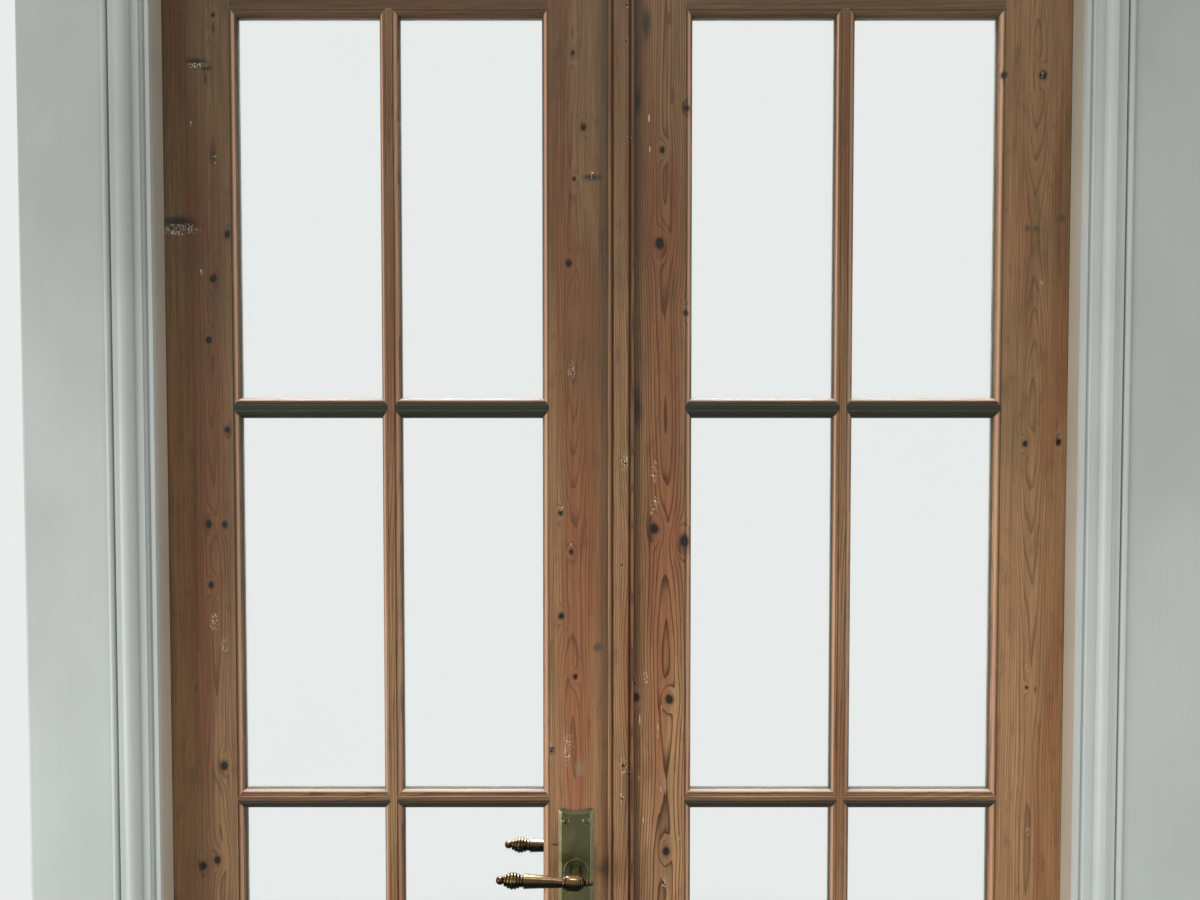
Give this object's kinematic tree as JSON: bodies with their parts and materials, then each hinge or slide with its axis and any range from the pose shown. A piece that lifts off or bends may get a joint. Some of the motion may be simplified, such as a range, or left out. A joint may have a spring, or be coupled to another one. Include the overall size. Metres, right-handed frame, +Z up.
{
  "type": "french doors",
  "caption": "Glazed timber french doors with divided panes, turned lever handles and backplates, in a rebated frame with moulded casing.",
  "frame": {"origin": "middle of the threshold's underside, under the joint between the leaves", "axes": "+X to the right seen from the room, +Y outdoors, +Z up"},
  "size_m": [1.502, 0.168, 2.4895],
  "materials": {
    "pine": "waxed",
    "painted_wood": "satin paint",
    "oak_sill": "oiled",
    "aged_brass": "aged, dull",
    "steel": "dull",
    "glass": "clear",
    "putty": "painted putty"
  },
  "bodies": {
    "frame": {"left_jamb": "painted_wood", "right_jamb": "painted_wood", "head_jamb": "painted_wood", "threshold": "oak_sill", "bolt_keeps": "aged_brass", "left_moulding": "painted_wood", "right_moulding": "painted_wood", "head_moulding": "painted_wood", "left_casing": "painted_wood", "right_casing": "painted_wood", "head_casing": "painted_wood", "left_hinge_1_frame_half": "aged_brass", "left_hinge_2_frame_half": "aged_brass", "left_hinge_3_frame_half": "aged_brass", "right_hinge_1_frame_half": "aged_brass", "right_hinge_2_frame_half": "aged_brass", "right_hinge_3_frame_half": "aged_brass"},
    "left_leaf": {"left_hinge_1_leaf_half": "aged_brass", "left_hinge_2_leaf_half": "aged_brass", "left_hinge_3_leaf_half": "aged_brass", "left_hinge_stile": "pine", "left_meeting_stile": "pine", "left_top_rail": "pine", "left_bottom_rail": "pine", "left_upright_bar": "pine", "left_cross_bar_1": "pine", "left_cross_bar_2": "pine", "left_cross_bar_3": "pine", "left_panes": "glass", "left_putty": "putty", "lock_case": "steel", "lock_faceplate": "aged_brass", "inner_backplate": "aged_brass", "outer_backplate": "aged_brass", "backplate_screws": "aged_brass"},
    "right_leaf": {"right_hinge_1_leaf_half": "aged_brass", "right_hinge_2_leaf_half": "aged_brass", "right_hinge_3_leaf_half": "aged_brass", "right_hinge_stile": "pine", "right_meeting_stile": "pine", "right_top_rail": "pine", "right_bottom_rail": "pine", "right_upright_bar": "pine", "right_cross_bar_1": "pine", "right_cross_bar_2": "pine", "right_cross_bar_3": "pine", "right_panes": "glass", "right_putty": "putty", "astragal": "pine", "strike_plate": "aged_brass", "flush_bolt_plates": "aged_brass"},
    "lever": {"inner_lever": "aged_brass", "outer_lever": "aged_brass", "spindle": "steel", "follower": "steel"},
    "latch_bolt": {"latch_bolt": "aged_brass"},
    "dead_bolt": {"dead_bolt": "aged_brass"},
    "flush_bolt_top": {"flush_bolt_top": "aged_brass"},
    "flush_bolt_bottom": {"flush_bolt_bottom": "aged_brass"}
  },
  "joints": [
    {"name": "left_leaf_hinge", "type": "hinge", "parent": "frame", "child": "left_leaf", "pos_m": [-0.598, 0.047, 1.21], "axis": [0, 0, 1], "range_deg": [0, 180]},
    {"name": "right_leaf_hinge", "type": "hinge", "parent": "frame", "child": "right_leaf", "pos_m": [0.598, 0.047, 1.21], "axis": [0, 0, -1], "range_deg": [0, 90.5]},
    {"name": "lever_turn", "type": "hinge", "parent": "left_leaf", "child": "lever", "pos_m": [-0.054, 0.019, 1.118], "axis": [0, -1, 0], "range_deg": [0, 40], "stiffness_Nm_per_rad": 1.5, "springref_deg": -22.92},
    {"name": "latch_slide", "type": "slide", "parent": "left_leaf", "child": "latch_bolt", "axis": [-1, 0, 0], "range_m": [0, 0.011]},
    {"name": "dead_bolt_slide", "type": "slide", "parent": "left_leaf", "child": "dead_bolt", "axis": [1, 0, 0], "range_m": [0, 0.014]},
    {"name": "flush_bolt_top_slide", "type": "slide", "parent": "right_leaf", "child": "flush_bolt_top", "axis": [0, 0, 1], "range_m": [0, 0.018]},
    {"name": "flush_bolt_bottom_slide", "type": "slide", "parent": "right_leaf", "child": "flush_bolt_bottom", "axis": [0, 0, -1], "range_m": [0, 0.018]}
  ],
  "couplings": [
    {"joint": "right_leaf_hinge", "follows": "left_leaf_hinge", "ratio": 0.5},
    {"joint": "latch_slide", "follows": "lever_turn", "m_per_rad": 0.01575}
  ]
}
